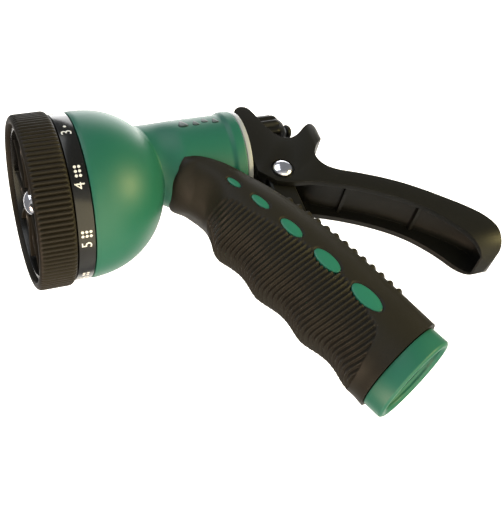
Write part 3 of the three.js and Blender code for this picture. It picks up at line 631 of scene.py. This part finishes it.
def grip_field(x, y, z):
    """Handle: a superellipse section round the spine. Saddle: a disc, a post and two flanks, cut below."""
    t, palm = on_spine(x, z)
    wave = np.abs(np.sin(np.pi * (t - FINGER_FIRST) / FINGER_PITCH)) ** 1.6
    wave = wave * (t > FINGER_FIRST) * (1 - smoothstep(0.84, 0.93, t))
    reach = np.where(palm > 0, through(t, STATIONS, PALM_REACH),
                     through(t, STATIONS, FRONT_REACH) - FINGER_DEPTH * wave)
    half = through(t, STATIONS, HALF_WIDTH)
    handle = 13 * (((np.abs(palm) / reach) ** CORNER + (np.abs(y) / half) ** CORNER) ** (1 / CORNER) - 1)
    disc = np.hypot(x - 57.6, z + 18) - 14.6
    post = np.hypot(np.minimum(x - 60, 0) * 0.55 + np.maximum(x - 64, 0), y) - 15.8
    below = -0.8 * (x - 54) - 0.6 * (z + 10) + y**2 / 30
    saddle = blend_max(blend_max(disc, np.abs(y) - 15.8, 3.0), blend_max(post, below, 5.0), 3.0)
    radius, rise = neck(x)
    wrap = blend_max(disc, np.hypot(y, z - rise) - radius - 1.4, 2.0)
    wrap = blend_max(wrap, -0.8 * (x - 53) - 0.6 * (z + 10) + y**2 / 200, 2.0)
    return blend_min(blend_min(handle, saddle, 3.0), wrap, 1.5)


deep_inside = (np.array([[value]]) for value in (77.0, 0.0, -32.0))
print("deep inside the handle the field is", grip_field(*deep_inside).round(1))

# %% [markdown]
# ## From the field to a skin
# A skin needs points in rows. Each row is a fan of rays, square to a centre line that runs down the
# middle of the grip. Along a ray, fifteen halvings find the place where the field turns positive. That
# gives a clean grid, which a marching method would not.

# %% Grip: the skin
ALONG, ROUND = 420, 228
CENTRE_LINE = [(50.4, -5.0), (66, -23), (90.4, -61.1), (103.6, -88.06)]
line, slope = bezier(CENTRE_LINE, np.linspace(0, 1, ALONG))
ahead = unit(slope)
side = np.linspace(0, 2 * np.pi, ROUND, endpoint=False)[None, :]
ray_x = -ahead[:, 1:] * np.cos(side)
ray_z = ahead[:, :1] * np.cos(side)
ray_y = np.broadcast_to(np.sin(side), ray_x.shape)
low, high = np.zeros_like(ray_x), np.full_like(ray_x, 26.0)
for _ in range(15):
    middle = (low + high) / 2
    inside = grip_field(line[:, :1] + middle * ray_x, middle * ray_y, line[:, 1:] + middle * ray_z) < 0
    low, high = np.where(inside, middle, low), np.where(inside, high, middle)
reach = (low + high) / 2 * (grip_field(line[:, :1], 0 * ray_y[:, :1], line[:, 1:]) < 0)
reach[0] = 0
x, y, z = line[:, :1] + reach * ray_x, reach * ray_y, line[:, 1:] + reach * ray_z
t, palm = on_spine(x, z)
print("grip skin", x.size, "points, widest", round(float(y.max()), 2))

# %% [markdown]
# ## Ribs, teeth and oval windows
# The fingers rest on fine ribs that wrap the front. They follow the distance along the spine, less a
# share of the distance from the middle, so every rib leans back as it rounds the front. A row of teeth
# stands on the palm side. Ten shallow oval recesses let the green ovals show.

# %% Grip: ribs, teeth and recesses
RIB_PITCH = 1.85
GRIP_RIB = 0.95
RIB_TILT = 0.34
STRIP_AT = [0, 0.11, 0.15, 0.19, 0.3, 0.78, 0.84, 0.88, 1]
STRIP_EDGE = [-13, -12.4, -9.4, -7, -5.1, -4.4, -8, -19, -24]
OVALS = [(0.185, 2.9, 1.2), (0.3, 3.8, 1.6), (0.432, 4.7, 2.1), (0.58, 5.6, 2.6), (0.74, 6.4, 3)]
spine_arc = np.concatenate([[0], np.cumsum(np.hypot(*np.diff(spine_xz, axis=0).T))])
spine_arc -= np.interp(0, spine_t, spine_arc)
level = np.interp(t, spine_t, spine_arc) - RIB_TILT * np.sqrt(y**2 + 9)
ribbed = smoothstep(-0.4, 0.4, through(t, STRIP_AT, STRIP_EDGE) - palm)
ribs = GRIP_RIB * ribbed * (0.5 - 0.5 * np.cos(2 * np.pi * level / RIB_PITCH)) ** 0.8
tooth = np.maximum(np.cos(2 * np.pi * (t - 0.34) / 0.036), 0) ** 0.9
teeth = 0.9 * tooth * (palm > 0) * (1 - smoothstep(11.5, 13, np.abs(y)))
teeth = teeth * smoothstep(0.32, 0.335, t) * (1 - smoothstep(0.785, 0.8, t))
recess = np.zeros_like(x)
pads = []
for place, long, wide in OVALS:
    centre, tangent = bezier(SPINE, place)
    tangent = unit(tangent)
    u = (x - centre[0]) * tangent[0] + (z - centre[1]) * tangent[1]
    v = -(x - centre[0]) * tangent[1] + (z - centre[1]) * tangent[0]
    oval = np.hypot(u / (long + 0.15), v / (wide + 0.15))
    flank = np.abs(y) > 8
    pads.append((centre, tangent, long, wide, float(np.abs(y[flank & (oval < 0.6)]).mean())))
    recess = np.maximum(recess, flank * (1 - smoothstep(0.94, 1.08, oval)))
reach = reach + teeth - ribs - 1.1 * recess
reach[0] = 0
skin = np.stack([line[:, :1] + reach * ray_x, reach * ray_y, line[:, 1:] + reach * ray_z], -1)
skin = skin.reshape(-1, 3)
lid = np.array([[CENTRE_LINE[-1][0], 0, CENTRE_LINE[-1][1]]])
last = (ALONG - 1) * ROUND
fan = [[last + j, last + (j + 1) % ROUND, len(skin)] for j in range(ROUND)]
skin_faces = grid_faces(ALONG, ROUND).tolist() + fan
grip = make("rubber_grip", np.vstack([skin, lid]), skin_faces, RUBBER, "housing", 70)
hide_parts("grip_sleeve")
print("grip:", len(grip.data.polygons), "faces")

# %% [markdown]
# ## The green ovals
# The green body under the rubber shows through ten oval windows. Each pad is a shallow dome with a short
# skirt, and it stands just below the rubber around it. The height of the dome is given ring by ring.

# %% Oval pads
turn = np.linspace(0, 2 * np.pi, 64, endpoint=False)[None, :]
share_out = np.array([0, 0.25, 0.5, 0.7, 0.85, 0.94, 0.985, 1.0, 1.0, 0])[:, None]
height = np.array([0.3, 0.29, 0.26, 0.2, 0.12, 0.05, -0.02, -0.15, -1.4, -1.4])[:, None]
for index, (centre, tangent, long, wide, surface) in enumerate(pads):
    u, v = long * share_out * np.cos(turn), wide * share_out * np.sin(turn)
    px = centre[0] + u * tangent[0] - v * tangent[1]
    pz = centre[1] + u * tangent[1] + v * tangent[0]
    for label, sign in (("near", -1), ("far", 1)):
        py = np.broadcast_to(sign * (surface - 0.5 + height), px.shape)
        points = np.stack([px, py, pz], -1).reshape(-1, 3)
        pad = make(f"oval_{label}_{index + 1}", points, grid_faces(10, 64), GREEN_PAD, "housing", 50)
print(2 * len(pads), "ovals")

# %% [markdown]
# ## The squeeze lever
# The lever is a moulded channel. Its outline is a smooth curve through a few points, cut from a block, and
# the channel is cut out from below. The Boolean modifier cuts, and the Bevel modifier rounds the
# edges that a real mould would round.


# %% Curve, block and pin tools
def spline(points, steps=12):
    """Uniform Catmull-Rom curve through the points, with the end points doubled."""
    p = np.asarray(points, float)
    p = np.vstack([p[:1], p, p[-1:]])
    s = np.linspace(0, 1, steps, endpoint=False)[:, None]
    a, b, c, d = (p[i : len(p) - 3 + i, None] for i in range(4))
    bend, twist = 2 * a - 5 * b + 4 * c - d, 3 * b - a - 3 * c + d
    curve = 0.5 * (2 * b + (c - a) * s + bend * s**2 + twist * s**3)
    return np.vstack([curve.reshape(-1, 2), p[-1:]])


def prism(name, outline, half):
    """Outline in x and z, carried across y between -half and half, with two flat lids."""
    n = len(outline)
    flat = np.stack([outline[:, 0], np.zeros(n), outline[:, 1]], -1)
    points = np.vstack([flat - [0, half, 0], flat + [0, half, 0]])
    faces = [list(range(n)), list(range(n, 2 * n))] + grid_faces(2, n).tolist()
    return make(name, points, faces, None)


def rod(name, x, z, radius, low, high, segments=48):
    """Round cutter across y."""
    a = np.linspace(0, 2 * np.pi, segments, endpoint=False)
    rim = np.stack([x + radius * np.cos(a), 0 * a, z + radius * np.sin(a)], -1)
    faces = [list(range(segments)), list(range(segments, 2 * segments))] + grid_faces(2, segments).tolist()
    return make(name, np.vstack([rim + [0, low, 0], rim + [0, high, 0]]), faces, None)


print("a spline through three points has", len(spline([(0, 0), (1, 1), (2, 0)])), "points")

# %% [markdown]
# ## Cutting and rounding
# A mould rounds every edge a little, and light shows it at once. So the Boolean cuts come first and a
# small bevel follows. The round ear and foot would need awkward cutters. It is simpler to slice the
# faces there and then draw the points in towards the middle plane.

# %% Carving tools
EDGE_ANGLE, SHADE_ANGLE = math.radians(32), math.radians(30)


def carve(piece, cutters, bevel):
    """Takes the cutters away from the piece, rounds its sharp edges and keeps the result as its mesh."""
    for cutter in cutters:
        step = piece.modifiers.new(cutter.name, "BOOLEAN")
        step.operation = "DIFFERENCE"
        step.object = cutter
        step.solver = "EXACT"
    soft = piece.modifiers.new("round", "BEVEL")
    soft.width, soft.segments, soft.limit_method = bevel * MM, 3, "ANGLE"
    soft.angle_limit = EDGE_ANGLE
    bpy.context.view_layer.update()
    made = bpy.data.meshes.new_from_object(piece.evaluated_get(bpy.context.evaluated_depsgraph_get()))
    piece.modifiers.clear()
    piece.data = made
    for cutter in cutters:
        bpy.data.objects.remove(cutter)
    made.shade_smooth()
    made.set_sharp_from_angle(angle=SHADE_ANGLE)
    return piece


def slice_and_narrow(piece, x_levels, z_levels, narrow):
    """Cuts the faces at the given x and z, then multiplies every y by narrow(x, z)."""
    shape = bmesh.new()
    shape.from_mesh(piece.data)
    for axis, levels in ((0, x_levels), (2, z_levels)):
        normal = Vector([float(axis == i) for i in range(3)])
        for level in levels:
            everything = shape.verts[:] + shape.edges[:] + shape.faces[:]
            place = normal * (level * MM + ORIGIN[axis])
            bmesh.ops.bisect_plane(shape, geom=everything, dist=1e-6, plane_co=place, plane_no=normal)
    shape.to_mesh(piece.data)
    shape.free()
    points = np.empty(len(piece.data.vertices) * 3)
    piece.data.vertices.foreach_get("co", points)
    points = points.reshape(-1, 3)
    mm = (points - ORIGIN) / MM
    points[:, 1] *= narrow(mm[:, 0], mm[:, 2])
    piece.data.vertices.foreach_set("co", points.ravel())
    piece.data.update()


print("edges sharper than", round(math.degrees(EDGE_ANGLE)), "degrees are rounded")

# %% [markdown]
# ## The lever's outline
# Seen from the side, the lever has an upright web with a round top, an ear behind it for the thumb, and
# a long arm that curves down to a round foot. The channel under the arm follows it about 2.5 mm inside.

# %% Lever outline
PIVOT = (89.6, -9.6)
LEVER_HALF, LEVER_WALL = 10.5, 2.3
STEM_RISE = 15.0
TAIL_START, EAR_START, EAR_ROUND = -48.9, 103.9, 8.5


def end_shape(x, z):
    """Share of the full width: a half circle at the tail's foot, round corners at the ear's rear."""
    deep = np.clip(TAIL_START - z, 0, LEVER_HALF - 0.1)
    tail = np.sqrt(LEVER_HALF**2 - deep**2) / LEVER_HALF
    back = np.clip(x - EAR_START, 0, EAR_ROUND - 0.3)
    ear = (LEVER_HALF - EAR_ROUND + np.sqrt(EAR_ROUND**2 - back**2)) / LEVER_HALF
    up = smoothstep(-3.5, 0, z)
    return tail * (1 - up + up * ear)


lever_outline = np.vstack([
    [(80.6, -9)],
    spline([(80.6, 17.5), (81.3, 19.8), (83.6, 21.2), (86.3, 20.4), (88, 17.2), (90.3, 10.5), (93, 5.6),
            (96.8, 3.7), (100.6, 4.8), (104.2, 7.6), (107.4, 9.6), (110.6, 9.6), (112, 7.6), (110.8, 3.8),
            (106.6, -0.6), (104, -5), (105, -9.6), (109, -13.2), (116.6, -16.5), (124.1, -20), (131.3, -24),
            (138.2, -28.7), (144.8, -33.8), (150.2, -38.2), (154.8, -42.8), (157.6, -47.6), (158.1, -52.4),
            (156.8, -57), (152.8, -59.3)]),
    spline([(149.4, -58), (147.6, -53.4), (143.8, -46.6), (138.6, -39.8), (133.2, -34.4), (126.6, -29.6),
            (118.6, -25), (109.4, -20.8), (99.6, -17.4), (91, -16.2), (85.6, -14.4)]),
])
lever_hollow = np.vstack([
    [(83.2, -24)],
    spline([(83.2, -1.5), (90, -1.7), (94.4, -2.8), (98, -7.2), (101.6, -12.2), (106.6, -15.3), (115.4, -19),
            (123, -22.6), (130, -26.5), (136.8, -31.1), (143.2, -36.2), (148.4, -40.6), (152.4, -44.9),
            (154.9, -49), (155.2, -52.6), (154, -55.4), (151.6, -56.6)]),
    [(140, -60), (108, -38)],
])
behind_web = np.array([(83.2, 6), (83.2, 26), (104, 26), (104, 16), (92, 6)])
slot_low, slot_high = STEM_RISE - 4, STEM_RISE + 2.9
stem_slot = np.array([(70, slot_low), (92, slot_low), (92, slot_high), (70, slot_high)])
print("lever outline has", len(lever_outline), "points, channel", len(lever_hollow))

# %% [markdown]
# ## Making the lever
# The block is cut six times: the channel, the gap behind the web, the slot for the stem, the pin hole and
# a shallow seat for each rivet head. Two thin ribs then cross the channel, as in the real moulding.

# %% Lever
lever = carve(
    prism("squeeze_lever", lever_outline, LEVER_HALF),
    [
        prism("hollow", lever_hollow, LEVER_HALF - LEVER_WALL),
        prism("behind_web", behind_web, LEVER_HALF - LEVER_WALL),
        prism("stem_slot", stem_slot, 2.5),
        rod("pin_hole", *PIVOT, 2.5, -20, 20),
        rod("near_seat", *PIVOT, 4.3, -20, 0.7 - LEVER_HALF),
        rod("far_seat", *PIVOT, 4.3, LEVER_HALF - 0.7, 20),
    ],
    0.7,
)
ear_cuts = np.arange(104, 112, 0.8)
tail_cuts = -49 - 10.3 * np.sin(np.linspace(0, 1.55, 14))
slice_and_narrow(lever, ear_cuts, tail_cuts, end_shape)
lever.data.materials.append(SATIN_BLACK)
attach(lever, "lever")
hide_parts("lever")
print("lever has", len(lever.data.polygons), "faces")
for index, (rx, rz) in enumerate([(113.0, -17.6), (137.0, -31.0)]):
    bar = np.array([(rx - 0.5, rz + 1), (rx + 0.6, rz + 0.6), (rx + 0.1, rz - 2.0), (rx - 1.0, rz - 1.6)])
    rib = prism(f"channel_rib_{index + 1}", bar, LEVER_HALF - LEVER_WALL + 0.2)
    rib.data.materials.append(SATIN_BLACK)
    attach(rib, "lever")

# %% [markdown]
# ## The pivot pin
# The lever turns on a rivet with a bright dome at both ends. One half is turned about the pin's own axis,
# and the other is its mirror image, with its faces turned outwards again.

# %% Rivet
rivet_half = np.vstack([[(0, 0), (0, 2.2), (9.9, 2.2), (9.9, 3.4)], dome(10.3, 3.6, 1.9, 12)[1:]])
rivet_points, rivet_faces = turned(rivet_half, 0, 64, closed=False)
for label, sign in (("near", -1), ("far", 1)):
    out, aside, up = rivet_points.T
    across = np.stack([PIVOT[0] + aside, sign * out, PIVOT[1] + up], -1)
    rivet = make(f"rivet_{label}", across, rivet_faces, CHROME, "housing", 40)
    if label == "near":
        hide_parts("pivot_rivet")
print("rivet half:", len(rivet.data.polygons), "faces")

# %% [markdown]
# ## The flow nut and the end of the stem
# Turning this nut sets how far the lever opens the valve. Twelve flutes give the fingers a hold. They are
# a ripple of the radius again, deep in the middle and gone at both ends. Behind it the stem carries a
# small black button.

# %% Flow nut and stem button
FLUTES = 12


def flute_ripple(x, a):
    """Twelve round flutes, deep on the body of the nut and gone at both ends."""
    deep = smoothstep(88.6, 89.8, x) * (1 - smoothstep(96.4, 98, x))
    return -0.9 * deep * (0.5 - 0.5 * np.cos(FLUTES * a)) ** 1.5


nut_run = np.linspace(89.8, 96.6, 10)
nut_profile = np.vstack([
    [(87.3, 2.3), (87.3, 5.2), (88.2, 6.4), (89.1, 7.2)],
    np.stack([nut_run, np.full(len(nut_run), 7.4)], -1),
    [(97.6, 7.0), (99.2, 5.4), (100.2, 4.6), (100.4, 4.0), (100.4, 2.3)],
])
nut = make("flow_nut", *turned(nut_profile, STEM_RISE, 144, flute_ripple), SATIN_BLACK, "nut", 40)
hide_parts("adjusting_nut")
rod_run = [(53, 0), (53, 2), (101.8, 2), (102, 1.5), (102.3, 1.5)]
rod_profile = np.vstack([rod_run, dome(102.4, 2.7, 2.0, 10)[1:]])
stem = make("valve_rod", *turned(rod_profile, STEM_RISE, 48, closed=False), STEEL, "stem", 40)
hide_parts("valve_stem")
cap_profile = np.vstack([[(101.9, 0), (101.9, 2.4)], dome(102.4, 2.8, 2.05, 12)[1:]])
cap = make("stem_cap", *turned(cap_profile, STEM_RISE, 48, closed=False), SATIN_BLACK, "stem", 40)
print("nut, rod and cap:", [len(p.data.polygons) for p in (nut, stem, cap)], "faces")

# %% [markdown]
# ## The print on the barrel
# A plain row of water drops in dark ink marks the barrel. A drop is a circle pulled out at one end and
# squeezed at the other. It is laid on the barrel by turning its height into an angle.

# %% Drops
DROP_RADIUS = BARREL_RADIUS + 0.03
DROPS = [(58.6, 22, 2.6), (63.2, 20, 1.8), (66.8, 24, 1.8), (70.4, 20, 1.8)]
for index, (along, height, size) in enumerate(DROPS):
    a = np.linspace(0, 2 * np.pi, 40, endpoint=False)[None, :]
    ring_share = np.array([0.0, 0.5, 1.0])[:, None]
    u = size * ring_share * 0.62 * np.sin(a) * (1 - 0.55 * np.cos(a))
    v = size * ring_share * (np.cos(a) + 0.12 * np.cos(2 * a))
    turned_to = math.radians(height) + v / DROP_RADIUS
    y, z = -DROP_RADIUS * np.cos(turned_to), BARREL_RISE + DROP_RADIUS * np.sin(turned_to)
    points = np.stack([along + u, y, z], -1).reshape(-1, 3)
    drop = make(f"drop_{index + 1}", points, grid_faces(3, 40), PRINT_DARK, "housing", closed=False)
    drop.modifiers.new("ink", "SOLIDIFY").thickness = 0.04 * MM
print(len(DROPS), "drops")

# %% [markdown]
# ## The camera
# The camera stands low, in front and to the left, close enough for the dial to look larger than the
# lever's foot. It is placed by two angles and a roll about the point it aims at, which is easier to
# reason about than three rotations.

# %% Camera
AZIMUTH, ELEVATION, ROLL = (math.radians(d) for d in (-22.328, -29.658, -21.996))
DISTANCE = 0.328137
TARGET = Vector((-0.03778, 0, 0.05531))
ahead = Vector((-math.sin(AZIMUTH), math.cos(AZIMUTH), 0))
overhead = Vector((0, 0, 1))
back = overhead * math.sin(ELEVATION) - ahead * math.cos(ELEVATION)
level_up = overhead * math.cos(ELEVATION) + ahead * math.sin(ELEVATION)
level_right = level_up.cross(back)
right = math.cos(ROLL) * level_right + math.sin(ROLL) * level_up
up = -math.sin(ROLL) * level_right + math.cos(ROLL) * level_up
camera = bpy.data.objects.new("camera", bpy.data.cameras.new("camera"))
camera.data.sensor_width = 36
camera.data.lens = 66.14
camera.data.clip_start = 0.01
turned_camera = Matrix((right, up, back)).transposed().to_4x4()
camera.matrix_world = Matrix.Translation(TARGET + back * DISTANCE) @ turned_camera
bpy.context.scene.collection.objects.link(camera)
bpy.context.scene.camera = camera
bpy.context.scene.view_settings.view_transform = "Standard"
print("camera at", [round(v, 4) for v in camera.matrix_world.translation])

# %% [markdown]
# ## Floor, card and lights
# The nozzle is held up by its hose, so it hangs in the air over a pale floor. A white card stands far
# behind it. The light is soft: a warm key from the right makes the broad highlight on the bell, a wide
# fill comes from the front, a glow from below, a top light, and a warm rim light from the left.


# %% Stage and lights
def card(name, centre, facing, size, colour, glow):
    """Square sheet facing a direction; glow is its own light."""
    mesh = bpy.data.meshes.new(name)
    h = size / 2
    mesh.from_pydata([(-h, -h, 0), (h, -h, 0), (h, h, 0), (-h, h, 0)], [], [(0, 1, 2, 3)])
    sheet = bpy.data.objects.new(name, mesh)
    sheet.rotation_mode = "QUATERNION"
    sheet.rotation_quaternion = facing.to_track_quat("Z", "Y")
    sheet.location = centre
    material = bpy.data.materials.new(name)
    material.use_nodes = True
    shader = material.node_tree.nodes["Principled BSDF"]
    shader.inputs["Base Color"].default_value = (*colour, 1)
    shader.inputs["Roughness"].default_value = 0.9
    shader.inputs["Emission Color"].default_value = (1, 1, 1, 1)
    shader.inputs["Emission Strength"].default_value = glow
    mesh.materials.append(material)
    bpy.context.scene.collection.objects.link(sheet)
    sheet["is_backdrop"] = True


card("pale_floor", Vector((0, 0, -0.45)), Vector((0, 0, 1)), 6, (0.8, 0.79, 0.77), 0.1)
card("white_card", TARGET - back * 0.8, back, 1.2, (0.9, 0.9, 0.9), 1.0)


def soft_light(name, direction, distance, size, power, colour):
    """Square area light that looks at the target."""
    data = bpy.data.lights.new(name, "AREA")
    data.size, data.energy, data.color = size, power, colour
    lamp = bpy.data.objects.new(name, data)
    lamp.location = TARGET + Vector(direction).normalized() * distance
    lamp.rotation_mode = "QUATERNION"
    lamp.rotation_quaternion = (lamp.location - TARGET).to_track_quat("Z", "Y")
    bpy.context.scene.collection.objects.link(lamp)


soft_light("key", (0.843, -0.463, -0.276), 0.75, 0.3, 5.5, (1.0, 0.84, 0.34))
soft_light("fill", (-0.5, -0.75, 0.55), 0.9, 0.9, 5, (0.95, 0.98, 1.0))
soft_light("glow", (0.1, -0.25, -1.0), 0.4, 0.5, 1.2, (1.0, 0.85, 0.5))
soft_light("rim", (-0.9, 0.35, -0.75), 0.6, 0.3, 3.0, (1.0, 0.72, 0.5))
soft_light("top", (0.4, 0.2, 1.0), 0.8, 0.6, 4, (1.0, 1.0, 1.0))
world = bpy.data.worlds.new("studio")
world.use_nodes = True
world.node_tree.nodes["Background"].inputs["Color"].default_value = (0.95, 0.97, 1.0, 1)
world.node_tree.nodes["Background"].inputs["Strength"].default_value = 0.22
bpy.context.scene.world = world
print(len(bpy.data.lights), "lights")

# %% [markdown]
# ## Sizes and the last step
# The visual model must not grow past the frame it dresses. Both boxes are measured, and the growth is
# printed.

# %% Sizes
visual_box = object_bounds()
growth = (visual_box[1] - visual_box[0]) - (cad_box[1] - cad_box[0])
print("box grows by", [round(v / MM, 2) for v in growth], "mm")
